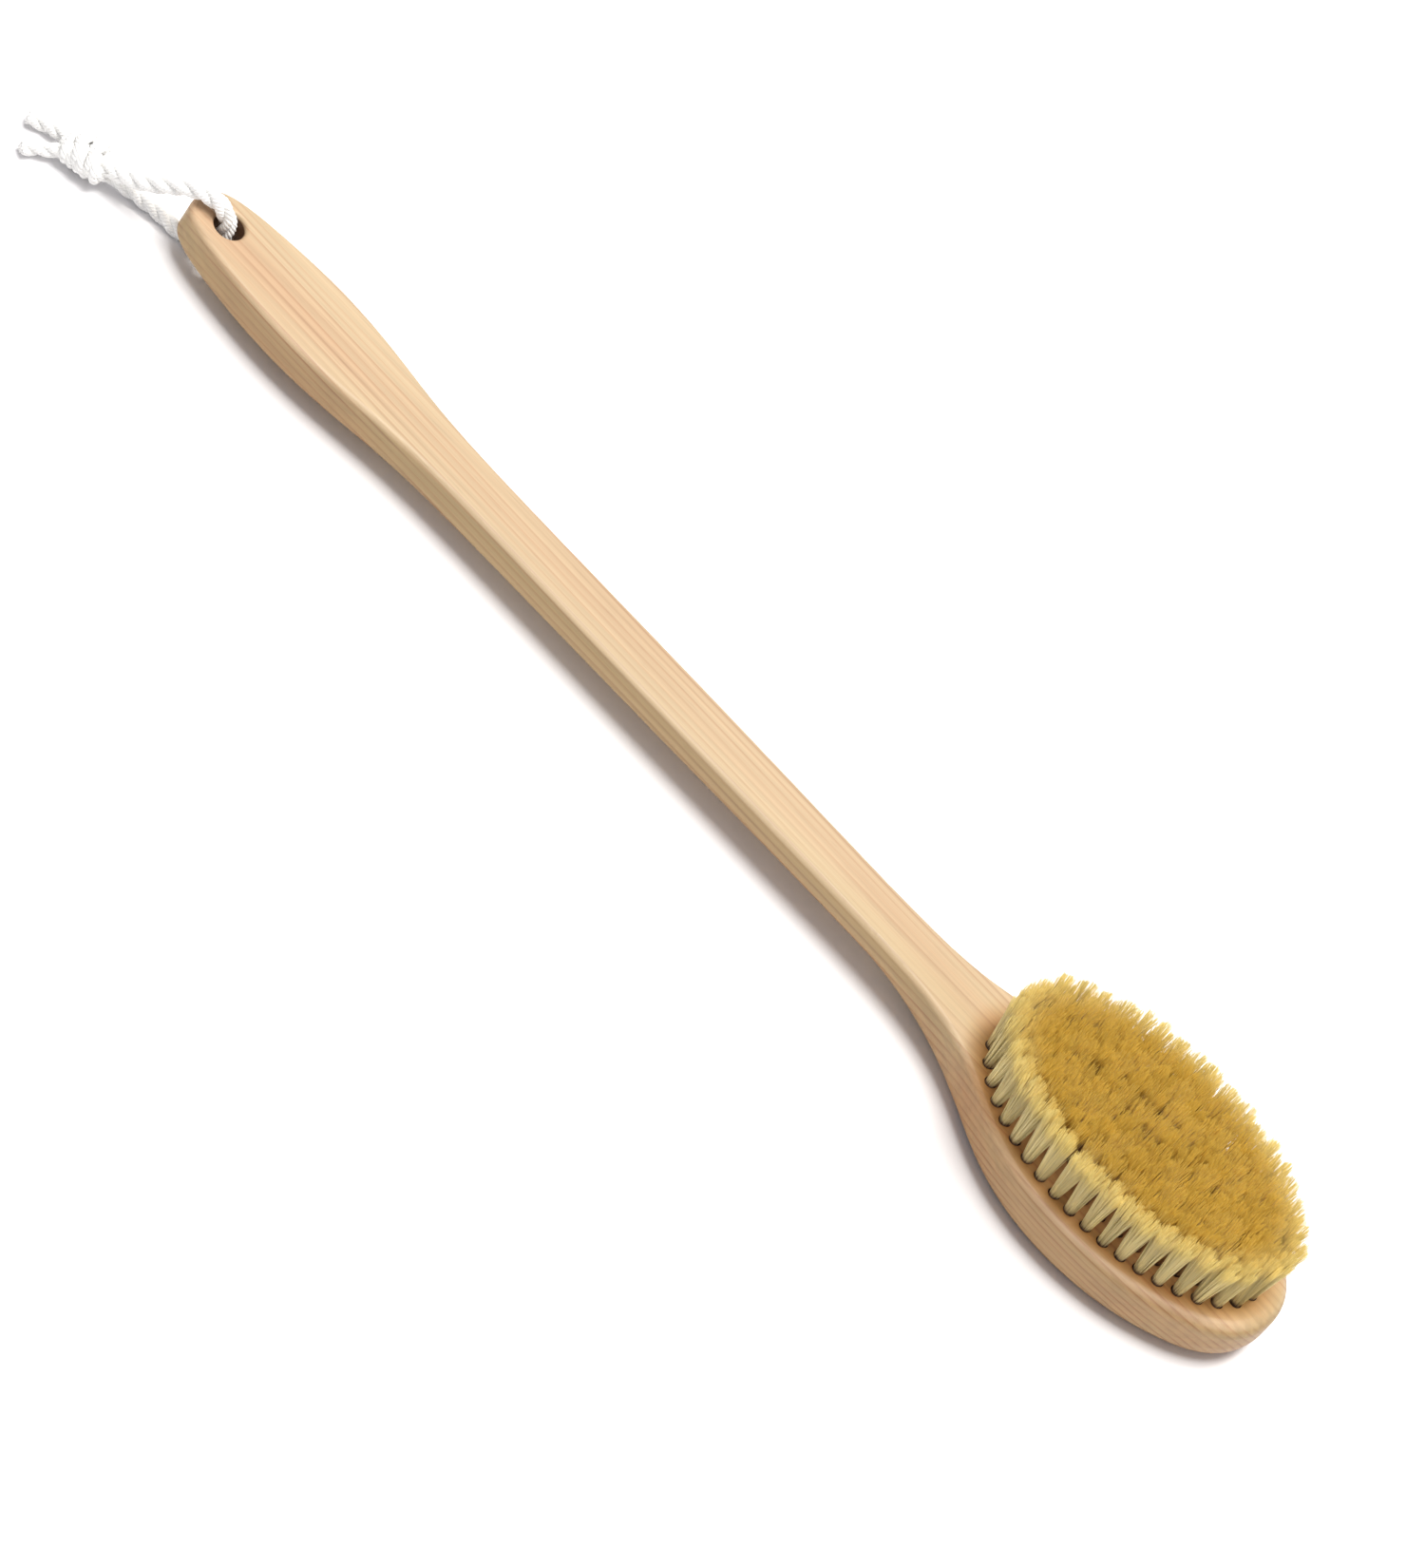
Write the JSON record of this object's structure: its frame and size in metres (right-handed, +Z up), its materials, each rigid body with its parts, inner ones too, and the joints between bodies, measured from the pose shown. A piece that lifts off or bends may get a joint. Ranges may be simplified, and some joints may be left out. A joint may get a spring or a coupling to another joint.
{
  "type": "long-handled body dry brush",
  "caption": "Long wooden handle with an oval head of upright natural bristle tufts, and a knotted rope loop through the handle's end for hanging.",
  "frame": {"origin": "centre of the bottom face of the brush's own box, without its rope: on the floor that the back of the head rests on, midway along the handle and head", "axes": "+X along the handle towards the head, +Y across the brush, +Z up through the bristles"},
  "size_m": [0.4532, 0.0632, 0.0363],
  "materials": {
    "wood": "oiled, satin",
    "bristle": "natural fibre, matte",
    "anchor_wire": "drawn",
    "rope": "soft cotton"
  },
  "bodies": {
    "brush": {"wooden_body": "wood", "bristle_tufts_outer_ring": "bristle", "bristle_tufts_second_ring": "bristle", "bristle_tufts_third_ring": "bristle", "bristle_tufts_fourth_ring": "bristle", "bristle_tufts_centre_ring": "bristle", "wire_anchors_outer_ring": "anchor_wire", "wire_anchors_second_ring": "anchor_wire", "wire_anchors_third_ring": "anchor_wire", "wire_anchors_fourth_ring": "anchor_wire", "wire_anchors_centre_ring": "anchor_wire"},
    "rope": {"rope_upper_leg": "rope", "rope_lower_leg": "rope", "rope_knot": "rope", "rope_tail_one": "rope", "rope_tail_two": "rope"}
  },
  "joints": [
    {"name": "rope_swing", "type": "hinge", "parent": "brush", "child": "rope", "pos_m": [-0.1894, 0, 0.0106], "axis": [0, 0, 1], "range_deg": [-100, 78]}
  ]
}
